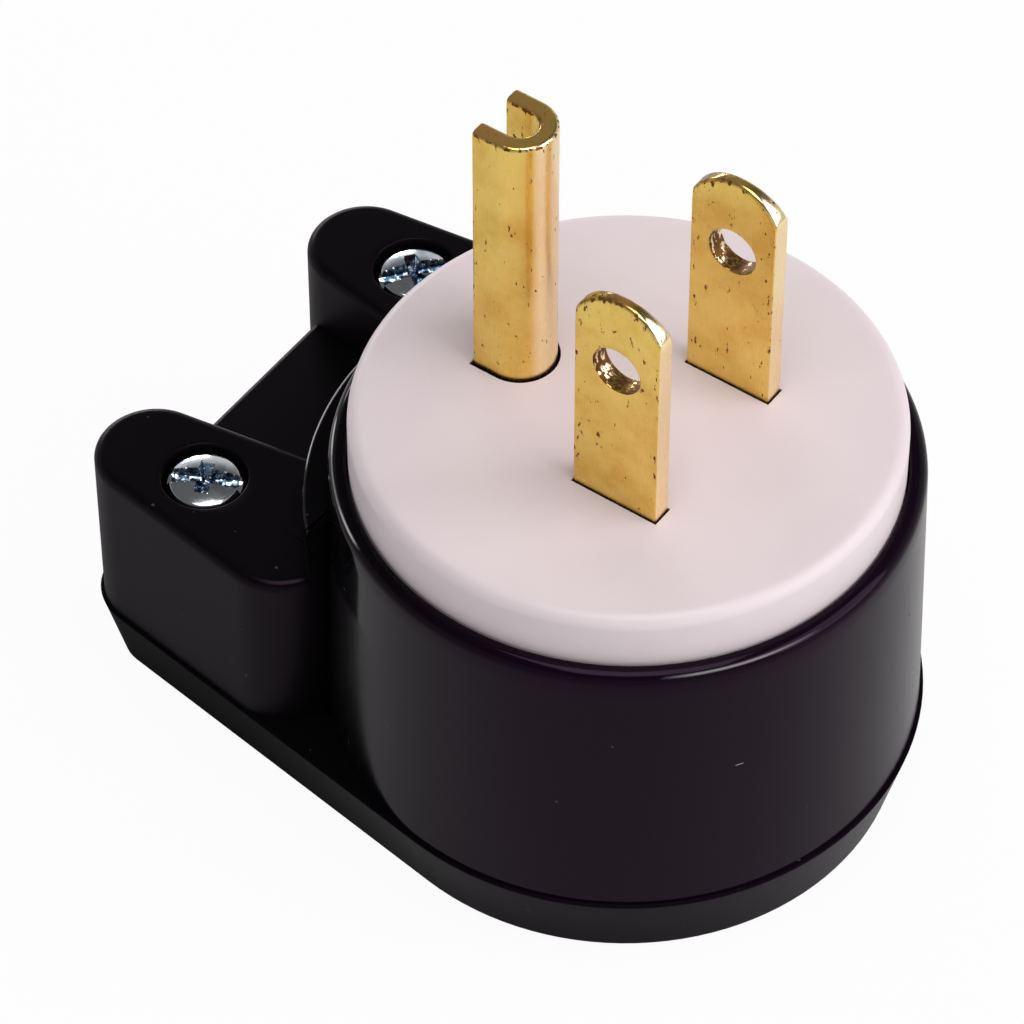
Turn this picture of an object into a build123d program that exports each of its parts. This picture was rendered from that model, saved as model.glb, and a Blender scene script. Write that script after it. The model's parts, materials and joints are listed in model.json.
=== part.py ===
from build123d import *
from math import asin, atan2, cos, hypot, radians, sin, tan
import os

# Right-angle grounding plug for a 15 A outlet, wired by hand, in millimetres.
# The origin is on the cup's axis at the flat underside. +Z points out along the blades, the cord
# leaves towards -X, and the hot blade is on the +Y side.

# Contacts: the standard pattern of two parallel blades and a longer grounding pin
blade_pitch = 12.7
blade_width = 6.35
blade_thickness = 1.45
blade_length = 17.6
blade_shift = 3.78
blade_tip_overrun = 0.465
blade_tip_bevel = 0.2
blade_hole_diameter = 3.5
blade_hole_height = 11.95
pin_to_blades = 12.1
pin_width = 4.95
pin_depth = 4.4
pin_wall = 1.3
pin_length = 20.7
pin_tip_bevel = 0.3
contact_gap = 0.1
pin_hole_gap = 0.25
bend_radius = 0.4
bend_space = 0.8

# White carrier: a thick disc that stands proud of the rim
face_radius = 18.1
face_edge = 0.7
face_proud = 3.88
carrier_depth = 8.0

# Black housing: a cup with a collar, two screw ears and the roof of the cord passage
rim_gap = 0.14
rim_wall = 1.18
rim_edge = 0.45
cup_draft = 1.5
housing_wall = 2.2
housing_height = 21.97
shoulder_width = 2.0
shoulder_height = 2.4
collar_depth = 1.72
collar_drop = 3.75
collar_edge = 0.35
ear_height = 13.57
ear_edge = 0.55
ear_back = 14.17
ear_inner_angle = 9.4
ear_corner_radius = 4.2
roof_height = 7.75
roof_setback = 2.2
roof_edge = 0.5

# Drop-shaped outline that the cover and the ears share
corner_reach = 30.07
corner_spread = 11.82
corner_radius = 4.04

# Back cover
cover_height = 6.08
cover_inset = 1.5
cover_overhang = 0.25
cover_floor = 1.8
cover_wall = 3.6
cover_edge = 0.5
hook_width = 8.0
hook_root = 1.0
hook_height = 4.6
hook_reach = 0.9
hook_thickness = 1.6
hook_gap = 0.2
hook_side_gap = 0.15

# Cord passage: half in the housing and half in the cover, with cross slots that grip the cord
passage_floor = 1.8
grip_depth = 0.6
grip_width = 1.6
grip_span = 5.0
grip_pitch = 3.4
grip_count = 2
grip_start = 4.4
saddle_wall = 1.8

# Screws that close the cover and clamp the cord
screw_inset = 4.24
screw_diameter = 3.0
screw_gap = 0.2
screw_head_diameter = 5.05
screw_head_height = 2.0
screw_head_sink = 0.3
screw_pocket_gap = 0.4
screw_end_gap = 0.2
insert_width = 5.0
insert_length = 3.4
boss_wall = 0.7
thread_gap = 0.03

# Terminals behind the carrier
terminal_offset = 4.6
pin_terminal_offset = 1.8
terminal_screw_diameter = 3.5
terminal_head_width = 5.5
terminal_head_height = 2.0
foot_end = 2.5
clamp_width = 6.6
clamp_depth = 5.5
clamp_thickness = 1.3

# Retainer plate that holds the contacts and draws the carrier down on the shoulder
retainer_sides = 8
retainer_thickness = 2.2
retainer_gap = 0.8
carrier_gap = 0.1
window_gap = 0.35
retainer_screw_x = 6.4
retainer_screw_y = 9.6
retainer_screw_diameter = 2.8
retainer_head_diameter = 4.8
retainer_head_height = 1.8
retainer_screw_length = 7.0
retainer_screw_end_gap = 0.6
slot_width = 0.8
slot_depth = 0.8

# Heights and radii that follow
parting = cover_height
rim_top = parting + housing_height
face_top = rim_top + face_proud
seat = face_top - carrier_depth
shoulder_under = seat - shoulder_height
ear_top = parting + ear_height
collar_top = rim_top - collar_drop
seat_radius = face_radius + rim_gap
rim_radius = seat_radius + rim_wall
body_radius = rim_radius + housing_height * tan(radians(cup_draft))
collar_radius = rim_radius + collar_depth
chamber_radius = body_radius - housing_wall
shoulder_radius = chamber_radius - shoulder_width
boss_radius = shoulder_radius - rim_gap
hook_radius = chamber_radius - hook_side_gap
hook_inside = hook_radius - hook_root
hook_top = parting + hook_height
passage_radius = parting - passage_floor
cord_end = corner_reach + corner_radius
roof_end = cord_end - roof_setback
passage_mouth = cord_end + cover_overhang + roof_setback

# Places of the contacts and their terminals
blade_y = blade_pitch / 2
blade_tip_radius = blade_width / 2 + blade_tip_overrun
pin_x = blade_shift - pin_to_blades
pin_open_x = pin_x - pin_depth / 2
pin_round_x = pin_x + pin_depth / 2 - pin_width / 2
foot_under = shoulder_under
blade_terminal_y = blade_y + terminal_offset
pin_terminal_x = pin_open_x - pin_terminal_offset
screw_places = [(screw_inset - corner_reach, corner_spread), (screw_inset - corner_reach, -corner_spread)]
retainer_screw_places = [(-retainer_screw_x, retainer_screw_y), (-retainer_screw_x, -retainer_screw_y)]

# Slope of the outline's straight sides, which touch the cup's circle and a corner's circle
corner_distance = hypot(corner_reach, corner_spread)
side_slope = asin((body_radius - corner_radius) / corner_distance) - atan2(corner_spread, corner_reach)


def drop_outline(grow):
    """Disc drawn out to two rounded corners at the cord end, grown outwards all round."""
    with BuildSketch() as outline:
        Circle(body_radius + grow)
        with Locations((-corner_reach, corner_spread), (-corner_reach, -corner_spread)):
            Circle(corner_radius + grow)
        make_hull()
    return outline.sketch


def pin_outline(grow):
    """Outline of the grounding pin, round towards the blades and square at its open side."""
    with BuildSketch() as outline:
        with Locations((pin_round_x, 0)):
            Circle(pin_width / 2 + grow)
        with Locations((pin_round_x, 0)):
            Rectangle(pin_round_x - pin_open_x + grow, pin_width + 2 * grow, align=(Align.MAX, Align.CENTER))
    return outline.sketch


def pin_foot_outline(grow):
    """Outline of the grounding pin's foot, round at both ends."""
    with BuildSketch() as outline:
        with Locations((pin_round_x, 0), (pin_terminal_x, 0)):
            Circle(pin_width / 2 + grow)
        make_hull()
    return outline.sketch


def six_sided(width, turn=0):
    """Six-sided outline, measured across its flats, with corners towards X unless it is turned."""
    with BuildSketch() as outline:
        RegularPolygon(width / 2, 6, major_radius=False, rotation=turn)
    return outline.sketch


# Cord passage as the space that both halves leave open
with BuildPart() as cord_space:
    with BuildSketch(Plane.YZ.offset(-passage_mouth)):
        with Locations((0, parting)):
            Circle(passage_radius)
    extrude(amount=passage_mouth - shoulder_radius)
    for number in range(grip_count):
        with BuildSketch(Plane.YZ.offset(-roof_end + grip_start + number * grip_pitch)):
            with Locations((0, parting)):
                Rectangle(grip_span, 2 * (passage_radius + grip_depth))
        extrude(amount=grip_width)


# Back cover: a tapered tray with a cord saddle, screw bosses and a hook opposite the cord
with BuildPart() as back_cover:
    with BuildSketch():
        add(drop_outline(cover_overhang - cover_inset))
    with BuildSketch(Plane.XY.offset(parting)):
        add(drop_outline(cover_overhang))
    loft(ruled=True)
    chamfer(back_cover.faces().sort_by(Axis.Z)[0].edges(), cover_edge)
    with BuildSketch(Plane.XY.offset(parting)):
        add(drop_outline(-cover_wall))
    extrude(amount=cover_floor - parting, mode=Mode.SUBTRACT)
    with BuildSketch(Plane.XY.offset(cover_floor)):
        with Locations((-(roof_end + hook_inside) / 2, 0)):
            Rectangle(roof_end - hook_inside, 2 * (passage_radius + saddle_wall))
        with Locations(*screw_places):
            add(six_sided(insert_width + 2 * boss_wall))
    extrude(amount=parting - cover_floor)
    with BuildSketch(Plane.XY.offset(parting)):
        Circle(hook_radius)
        Circle(hook_inside, mode=Mode.SUBTRACT)
        with Locations((body_radius, 0)):
            Rectangle(2 * body_radius, hook_width, mode=Mode.INTERSECT)
    extrude(amount=hook_height)
    with BuildSketch(Plane.XY.offset(hook_top - hook_thickness)):
        Circle(hook_radius + hook_reach)
        Circle(hook_radius - hook_root / 2, mode=Mode.SUBTRACT)
        with Locations((body_radius, 0)):
            Rectangle(2 * body_radius, hook_width, mode=Mode.INTERSECT)
    extrude(amount=hook_thickness)
    add(cord_space.part, mode=Mode.SUBTRACT)
    with BuildSketch(Plane.XY.offset(parting)):
        with Locations(*screw_places):
            add(six_sided(insert_width))
    extrude(amount=-insert_length, mode=Mode.SUBTRACT)


# One screw ear: it follows the outline's corner and side, and ends at the cup in a large rounding
tip = Vector(-corner_reach, corner_spread)
outer_along = Vector(cos(side_slope), sin(side_slope))
outer_start = tip + Vector(-sin(side_slope), cos(side_slope)) * corner_radius
outer_end = outer_start + outer_along * ((-ear_back - outer_start.X) / outer_along.X)
inner_slope = radians(ear_inner_angle)
inner_start = tip - Vector(sin(inner_slope), cos(inner_slope)) * corner_radius
inner_along = Vector(cos(inner_slope), -sin(inner_slope))
inner_end = inner_start + inner_along * ((-ear_back - inner_start.X) / inner_along.X)
with BuildPart() as ear:
    with BuildSketch(Plane.XY.offset(parting)) as ear_plan:
        with BuildLine():
            Polyline(outer_start, outer_end, inner_end, inner_start)
            ThreePointArc(inner_start, tip - Vector(corner_radius, 0), outer_start)
        make_face()
        fillet(ear_plan.vertices().sort_by(Axis.Y)[-1], ear_corner_radius)
    extrude(amount=ear_height)
    chamfer(ear.faces().sort_by(Axis.Z)[-1].edges(), ear_edge)


# Collar: a raised wall round the cord side of the cup, cut off in line with the ears' rounded ends
with BuildPart() as collar:
    with BuildSketch(Plane.XY.offset(parting)) as collar_plan:
        with BuildLine():
            half = Polyline((outer_start.X, 0), outer_start, outer_end, (outer_end.X, 0))
            mirror(half, about=Plane.XZ)
        make_face()
        fillet(collar_plan.vertices().group_by(Axis.Y)[0], ear_corner_radius)
        fillet(collar_plan.vertices().group_by(Axis.Y)[-1], ear_corner_radius)
        Circle(collar_radius, mode=Mode.INTERSECT)
    extrude(amount=collar_top - parting)
    chamfer(collar.faces().sort_by(Axis.Z)[-1].edges(), collar_edge)


# Housing: cup, collar, ears and passage roof as one moulding
with BuildPart() as front_housing:
    with BuildSketch(Plane.XZ) as cup_section:
        with BuildLine():
            Polyline((0, parting), (body_radius, parting), (rim_radius, rim_top), (0, rim_top), close=True)
        make_face()
        chamfer(cup_section.vertices().sort_by_distance((rim_radius, rim_top))[0], rim_edge)
    revolve(axis=Axis.Z)
    add(collar.part)
    with BuildSketch(Plane.XY.offset(parting)):
        with Locations((-(roof_end + chamber_radius) / 2, 0)):
            Rectangle(roof_end - chamber_radius, 2 * corner_spread)
    extrude(amount=roof_height)
    fillet(front_housing.edges().filter_by(Axis.Y).group_by(Axis.Z)[-1].sort_by(Axis.X)[0], roof_edge)
    add(ear.part)
    add(mirror(ear.part, about=Plane.XZ, mode=Mode.PRIVATE))
    with BuildSketch(Plane.XY.offset(parting)):
        Circle(chamber_radius)
    extrude(amount=shoulder_under - parting, mode=Mode.SUBTRACT)
    with BuildSketch(Plane.XY.offset(shoulder_under)):
        Circle(shoulder_radius)
    extrude(amount=shoulder_height, mode=Mode.SUBTRACT)
    with BuildSketch(Plane.XY.offset(seat)):
        Circle(seat_radius)
    extrude(amount=carrier_depth, mode=Mode.SUBTRACT)
    add(cord_space.part, mode=Mode.SUBTRACT)
    with BuildSketch(Plane.XY.offset(parting)):
        with Locations(*screw_places):
            Circle(screw_diameter / 2 + screw_gap)
    extrude(amount=ear_height, mode=Mode.SUBTRACT)
    with BuildSketch(Plane.XY.offset(ear_top)):
        with Locations(*screw_places):
            Circle(screw_head_diameter / 2 + screw_pocket_gap)
    extrude(amount=-screw_head_sink - screw_head_height, mode=Mode.SUBTRACT)
    with BuildSketch(Plane.XY.offset(hook_top - hook_thickness - hook_gap)):
        Circle(hook_radius + hook_reach + hook_gap)
        with Locations((body_radius, 0)):
            Rectangle(2 * body_radius, hook_width + 2 * hook_gap, mode=Mode.INTERSECT)
    extrude(amount=hook_thickness + 2 * hook_gap, mode=Mode.SUBTRACT)


def blade(side):
    """Blade on one side: a strip bent outwards at the foot, with a rounded tip and a hole near it."""
    middle = side * blade_y
    foot_middle = foot_under + blade_thickness / 2
    foot_tip = side * (blade_terminal_y + foot_end)
    with BuildPart() as strip:
        with BuildSketch(Plane.YZ.offset(blade_shift)):
            with BuildLine():
                FilletPolyline(
                    (middle, face_top + blade_length),
                    (middle, foot_middle),
                    (foot_tip, foot_middle),
                    radius=bend_radius + blade_thickness / 2,
                )
            trace(line_width=blade_thickness)
        extrude(amount=blade_width / 2, both=True)
        with BuildSketch(Plane.XZ.offset(-middle)):
            with Locations((blade_shift, face_top)):
                Rectangle(blade_width, blade_length, align=(Align.CENTER, Align.MIN))
            with Locations((blade_shift, face_top + blade_length - blade_tip_radius)):
                Circle(blade_tip_radius, mode=Mode.INTERSECT)
            with Locations((blade_shift, face_top)):
                Rectangle(blade_width, blade_length - blade_tip_radius, align=(Align.CENTER, Align.MIN))
            with Locations((blade_shift, foot_under)):
                Rectangle(blade_width, face_top - foot_under, align=(Align.CENTER, Align.MIN))
            with Locations((blade_shift, face_top + blade_hole_height)):
                Circle(blade_hole_diameter / 2, mode=Mode.SUBTRACT)
        extrude(amount=blade_pitch, both=True, mode=Mode.INTERSECT)
        tip_arcs = strip.edges().filter_by(GeomType.CIRCLE).sort_by(Axis.Z)[-2:]
        chamfer(tip_arcs, blade_tip_bevel)
        with BuildSketch(Plane.XY.offset(foot_under)):
            with Locations((blade_shift, side * blade_terminal_y)):
                Circle(terminal_screw_diameter / 2 + thread_gap)
        extrude(amount=blade_thickness, mode=Mode.SUBTRACT)
    return strip


hot_blade = blade(1)
neutral_blade = blade(-1)


# Grounding pin: a strip folded into a U, open towards the cord, on a flat terminal foot
with BuildPart() as ground_pin:
    with BuildSketch(Plane.XY.offset(foot_under)):
        with BuildLine():
            arm = Line((pin_open_x, pin_width / 2 - pin_wall / 2), (pin_round_x, pin_width / 2 - pin_wall / 2))
            ThreePointArc(arm @ 1, (pin_round_x + pin_width / 2 - pin_wall / 2, 0), mirror(arm, about=Plane.XZ) @ 1)
        trace(line_width=pin_wall)
    extrude(amount=face_top + pin_length - foot_under)
    chamfer(ground_pin.faces().sort_by(Axis.Z)[-1].edges(), pin_tip_bevel)
    with BuildSketch(Plane.XY.offset(foot_under)):
        add(pin_foot_outline(0))
        with Locations((pin_terminal_x, 0)):
            Circle(terminal_screw_diameter / 2 + thread_gap, mode=Mode.SUBTRACT)
    extrude(amount=pin_wall)


# White carrier: the face disc, and a boss behind it with the seats of the three contacts
with BuildPart() as blade_carrier:
    with BuildSketch(Plane.XY.offset(seat)):
        Circle(face_radius)
    extrude(amount=carrier_depth)
    chamfer(blade_carrier.faces().sort_by(Axis.Z)[-1].edges(), face_edge)
    with BuildSketch(Plane.XY.offset(seat)):
        Circle(boss_radius)
    extrude(amount=carrier_gap - shoulder_height)
    for side in (1, -1):
        with BuildSketch(Plane.XY.offset(foot_under)):
            with Locations((blade_shift, side * blade_y)):
                Rectangle(blade_width + 2 * contact_gap, blade_thickness + 2 * contact_gap)
        extrude(amount=face_top - foot_under, mode=Mode.SUBTRACT)
        with BuildSketch(Plane.XY.offset(foot_under)):
            with Locations((blade_shift, side * blade_y)):
                Rectangle(blade_width + 2 * contact_gap, blade_thickness + 2 * bend_space)
        extrude(amount=blade_thickness + bend_space, mode=Mode.SUBTRACT)
        with BuildSketch(Plane.XY.offset(foot_under)):
            with Locations((blade_shift, side * (blade_y + (terminal_offset + foot_end) / 2))):
                Rectangle(blade_width + 2 * contact_gap, terminal_offset + foot_end + 2 * contact_gap)
        extrude(amount=blade_thickness, mode=Mode.SUBTRACT)
    with BuildSketch(Plane.XY.offset(foot_under)):
        add(pin_outline(pin_hole_gap))
    extrude(amount=face_top - foot_under, mode=Mode.SUBTRACT)
    with BuildSketch(Plane.XY.offset(foot_under)):
        add(pin_foot_outline(contact_gap))
    extrude(amount=pin_wall, mode=Mode.SUBTRACT)
    with BuildSketch(Plane.XY.offset(foot_under)):
        with Locations(*retainer_screw_places):
            Circle(retainer_screw_diameter / 2 + thread_gap)
    extrude(amount=retainer_screw_length - retainer_thickness + retainer_screw_end_gap, mode=Mode.SUBTRACT)


# Retainer: an eight-sided plate under the shoulder with a bay for each terminal, open at its rim
retainer_radius = chamber_radius - retainer_gap
bay_width = clamp_width + 2 * window_gap
bay_start = terminal_head_width / 2 + window_gap
with BuildPart() as contact_retainer:
    with BuildSketch(Plane.XY.offset(shoulder_under - retainer_thickness)):
        RegularPolygon(retainer_radius, retainer_sides)
        with Locations((blade_shift, blade_terminal_y - bay_start)):
            Rectangle(bay_width, retainer_radius, align=(Align.CENTER, Align.MIN), mode=Mode.SUBTRACT)
        with Locations((blade_shift, bay_start - blade_terminal_y)):
            Rectangle(bay_width, retainer_radius, align=(Align.CENTER, Align.MAX), mode=Mode.SUBTRACT)
        with Locations((pin_terminal_x + bay_start, 0)):
            Rectangle(retainer_radius, bay_width, align=(Align.MAX, Align.CENTER), mode=Mode.SUBTRACT)
        with Locations(*retainer_screw_places):
            Circle(retainer_screw_diameter / 2 + screw_gap, mode=Mode.SUBTRACT)
    extrude(amount=retainer_thickness)


def wire_clamp(x, y, width, depth):
    """Plate with a screw hole that presses a wire against a contact's foot."""
    with BuildPart() as plate:
        with BuildSketch(Plane.XY.offset(foot_under - clamp_thickness)):
            with Locations((x, y)):
                Rectangle(width, depth)
                Circle(terminal_screw_diameter / 2 + screw_gap, mode=Mode.SUBTRACT)
        extrude(amount=clamp_thickness)
    return plate


hot_wire_clamp = wire_clamp(blade_shift, blade_terminal_y, clamp_width, clamp_depth)
neutral_wire_clamp = wire_clamp(blade_shift, -blade_terminal_y, clamp_width, clamp_depth)
ground_wire_clamp = wire_clamp(pin_terminal_x, 0, clamp_depth, clamp_width)


def slotted_screw(diameter, length, head, head_height):
    """Screw that hangs below Z = 0 under a head of the given outline, with a slot across the head."""
    with BuildPart() as screw:
        with BuildSketch():
            add(head)
        extrude(amount=head_height)
        with BuildSketch(Plane.XY.offset(head_height)):
            Rectangle(head.bounding_box().size.X, slot_width)
        extrude(amount=-slot_depth, mode=Mode.SUBTRACT)
        with BuildSketch():
            Circle(diameter / 2)
        extrude(amount=-length)
    return screw


def round_head(diameter):
    """Outline of a round screw head."""
    with BuildSketch() as outline:
        Circle(diameter / 2)
    return outline.sketch


def terminal_screw(x, y, foot_thickness, head):
    """Terminal screw, turned over so that its head faces the cover, and flush with the foot it holds."""
    length = clamp_thickness + foot_thickness
    screw = slotted_screw(terminal_screw_diameter, length, head, terminal_head_height)
    seat_plane = Plane((x, y, foot_under - clamp_thickness), x_dir=(1, 0, 0), z_dir=(0, 0, -1))
    with BuildPart(seat_plane) as turned:
        add(screw.part)
    return turned


# Terminal screws, whose heads turn a flat side towards the contact
blade_screw_head = six_sided(terminal_head_width)
pin_screw_head = six_sided(terminal_head_width, turn=30)
hot_terminal_screw = terminal_screw(blade_shift, blade_terminal_y, blade_thickness, blade_screw_head)
neutral_terminal_screw = terminal_screw(blade_shift, -blade_terminal_y, blade_thickness, blade_screw_head)
ground_terminal_screw = terminal_screw(pin_terminal_x, 0, pin_wall, pin_screw_head)


# Two retainer screws, heads towards the cover
retainer_head = round_head(retainer_head_diameter)
retainer_screw = slotted_screw(
    retainer_screw_diameter, retainer_screw_length, retainer_head, retainer_head_height
)
retainer_under = Plane((0, 0, shoulder_under - retainer_thickness), x_dir=(1, 0, 0), z_dir=(0, 0, -1))
with BuildPart(retainer_under) as retainer_screws:
    with Locations(*retainer_screw_places):
        add(retainer_screw.part)


# Two cover screws in the ears, which end just above the bottom of their inserts
cover_head = round_head(screw_head_diameter)
head_seat = ear_top - screw_head_sink - screw_head_height
screw_length = head_seat - parting + insert_length - screw_end_gap
cover_screw = slotted_screw(screw_diameter, screw_length, cover_head, screw_head_height)
with BuildPart(Plane.XY.offset(head_seat)) as cover_screws:
    with Locations(*screw_places):
        add(cover_screw.part)


# Two threaded inserts, moulded into the cover's bosses flush with the parting line
with BuildPart() as insert:
    with BuildSketch():
        add(six_sided(insert_width))
        Circle(screw_diameter / 2 + thread_gap, mode=Mode.SUBTRACT)
    extrude(amount=-insert_length)
with BuildPart(Plane.XY.offset(parting)) as cover_inserts:
    with Locations(*screw_places):
        add(insert.part)


pieces = {
    "back_cover": back_cover,
    "front_housing": front_housing,
    "blade_carrier": blade_carrier,
    "hot_blade": hot_blade,
    "neutral_blade": neutral_blade,
    "ground_pin": ground_pin,
    "contact_retainer": contact_retainer,
    "retainer_screws": retainer_screws,
    "hot_wire_clamp": hot_wire_clamp,
    "neutral_wire_clamp": neutral_wire_clamp,
    "ground_wire_clamp": ground_wire_clamp,
    "hot_terminal_screw": hot_terminal_screw,
    "neutral_terminal_screw": neutral_terminal_screw,
    "ground_terminal_screw": ground_terminal_screw,
    "cover_screws": cover_screws,
    "cover_inserts": cover_inserts,
}
os.makedirs("parts", exist_ok=True)
for name, piece in pieces.items():
    piece.part.label = name
    export_step(piece.part, f"parts/{name}.step")
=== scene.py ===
import json
import math
import bmesh
import bpy
import numpy as np
from mathutils import Matrix, Vector
from mathutils.geometry import delaunay_2d_cdt


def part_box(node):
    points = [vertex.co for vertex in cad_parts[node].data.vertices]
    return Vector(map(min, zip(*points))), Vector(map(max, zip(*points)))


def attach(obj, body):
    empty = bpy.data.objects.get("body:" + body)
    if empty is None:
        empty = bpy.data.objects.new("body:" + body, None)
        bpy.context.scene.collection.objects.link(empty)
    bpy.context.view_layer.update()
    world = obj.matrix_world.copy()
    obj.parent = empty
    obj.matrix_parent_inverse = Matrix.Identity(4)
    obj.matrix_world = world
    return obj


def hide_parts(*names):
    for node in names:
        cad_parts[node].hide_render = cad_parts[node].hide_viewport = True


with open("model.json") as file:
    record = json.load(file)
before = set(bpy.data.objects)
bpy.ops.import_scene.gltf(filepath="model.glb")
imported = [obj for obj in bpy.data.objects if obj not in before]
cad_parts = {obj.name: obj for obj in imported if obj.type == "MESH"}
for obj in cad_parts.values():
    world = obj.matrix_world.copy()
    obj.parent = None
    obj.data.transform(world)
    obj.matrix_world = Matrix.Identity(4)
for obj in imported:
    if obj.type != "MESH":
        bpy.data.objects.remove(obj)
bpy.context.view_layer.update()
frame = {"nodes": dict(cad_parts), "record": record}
nodes = frame["nodes"]
scene = bpy.context.scene
mm = 0.001
print("loaded", len(nodes), "nodes")


noiseMiddle = 0.5   # mean value of a noise


# a socket that adds a Math node for every operator written on it
class Wire:
    def __init__(self, tree, socket=None):
        self.tree = tree
        self.socket = socket

    # any node: its type, its settings first, then values or links by socket name or number
    def node(self, kind, settings=None, inputs=None, output=0):
        made = self.tree.nodes.new(kind)
        for key, value in (settings or {}).items():
            setattr(made, key, value)
        for key, value in (inputs or {}).items():
            self.feed(made.inputs[key], value)
        return Wire(self.tree, made.outputs[output])

    # a link or a plain value into a socket
    def feed(self, socket, value):
        if isinstance(value, Wire):
            self.tree.links.new(value.socket, socket)
        else:
            socket.default_value = value

    def maths(self, operation, first, second=0.0):
        return self.node("ShaderNodeMath", {"operation": operation}, {0: first, 1: second})

    def __add__(self, other):
        return self.maths("ADD", self, other)

    def __radd__(self, other):
        return self.maths("ADD", other, self)

    def __sub__(self, other):
        return self.maths("SUBTRACT", self, other)

    def __rsub__(self, other):
        return self.maths("SUBTRACT", other, self)

    def __mul__(self, other):
        return self.maths("MULTIPLY", self, other)

    def __rmul__(self, other):
        return self.maths("MULTIPLY", other, self)

    def __truediv__(self, other):
        return self.maths("DIVIDE", self, other)

    def __rtruediv__(self, other):
        return self.maths("DIVIDE", other, self)

    # soft step from low to high
    def step(self, low, high):
        return self.node("ShaderNodeMapRange", {"interpolation_type": "SMOOTHSTEP"},
                         {"Value": self, "From Min": low, "From Max": high})

    # the colour sockets of a Mix node go by number
    def mixColour(self, first, second):
        return self.node("ShaderNodeMix", {"data_type": "RGBA"}, {0: self, 6: first, 7: second}, 2)

    # one part of a vector: 0, 1 or 2
    def part(self, axis):
        return self.node("ShaderNodeSeparateXYZ", None, {0: self}, axis)

    # noise on this vector: the looks below give its size, its detail and, at times, its roughness
    def noise(self, size, detail, roughness=0.5):
        return self.node("ShaderNodeTexNoise", None,
                         {"Vector": self, "Scale": size, "Detail": detail, "Roughness": roughness})

    # this height as a bump
    def bump(self, height, **others):
        inputs = {"Strength": 1.0, "Distance": height, "Height": self, **others}
        return self.node("ShaderNodeBump", None, inputs)

    # this vector drawn out along z
    def stretch(self, share):
        return self.node("ShaderNodeMapping", None, {"Vector": self, "Scale": (1.0, 1.0, share)})


# an empty material, its wire and its shader
def newFinish(name):
    finish = bpy.data.materials.new(name)
    finish.use_nodes = True
    tree = finish.node_tree
    return finish, Wire(tree), tree.nodes["Principled BSDF"]


def objectPlace(wire):
    return wire.node("ShaderNodeTexCoord", output="Object")


# a share stored on the mesh: pits on the brass (partly painted shade in the blades' holes), painted
# highlights on the housing's edges, painted shade and glints in the screws' recesses
def wearAndLightShare(wire):
    return wire.node("ShaderNodeAttribute", {"attribute_name": "wearAndPaintedLight"}, output="Fac")


# links and values for the sockets of a shader
def plug(wire, shader, sockets):
    for name, value in sockets.items():
        wire.feed(shader.inputs[name], value)


# black moulded plastic: faint mould grain, a few dust specks, one scratch on the cup, pale painted highlights
# on the edges that the attribute marks, duller and less violet towards the cord, a little duller on the far
# wall
blackLook = {"colour": (0.0048, 0.0023, 0.0056, 1), "cordColour": (0.0027, 0.0026, 0.0028, 1),
             "cordFrom": 6.0 * mm, "cordTo": -12.0 * mm, "wearAndSheen": (0.75, 0.75, 0.75, 1),
             "specular": 0.1, "tint": (1.0, 0.6, 1.0, 1), "roughness": 0.09,
             "grainNoise": (900.0, 3.0), "grainHeight": 0.003 * mm, "edgeRadius": 0.4 * mm, "edgeSamples": 6,
             "dust": (0.05, 0.048, 0.05, 1), "dustNoise": (1500.0, 1.0), "dustRange": (0.79, 0.82),
             "dustRoughness": 0.3,
             "dull": 0.5, "dullTops": 0.28, "dullFrom": -2.0 * mm, "dullTo": -20.0 * mm,
             "dullHeights": (21.0 * mm, 22.0 * mm), "levelRange": (0.4, 0.8),
             "farDull": 0.22, "farFrom": -10.0 * mm, "farTo": 4.0 * mm,
             "scratch": (0.28, 0.28, 0.28, 1), "scratchPlace": (16.4 * mm, -10.86 * mm, 18.5 * mm),
             "scratchTurn": 56.5, "scratchLength": (0.175 * mm, 0.35 * mm),
             "scratchWidth": (0.018 * mm, 0.06 * mm), "scratchSide": (-1.0 * mm, 0.0)}
# the cover is more matt
coverLook = dict(blackLook, roughness=0.25, specular=0.03, dull=0.6, dullTops=0.6, dullFrom=2.0 * mm,
                 farDull=0.25)


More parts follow.
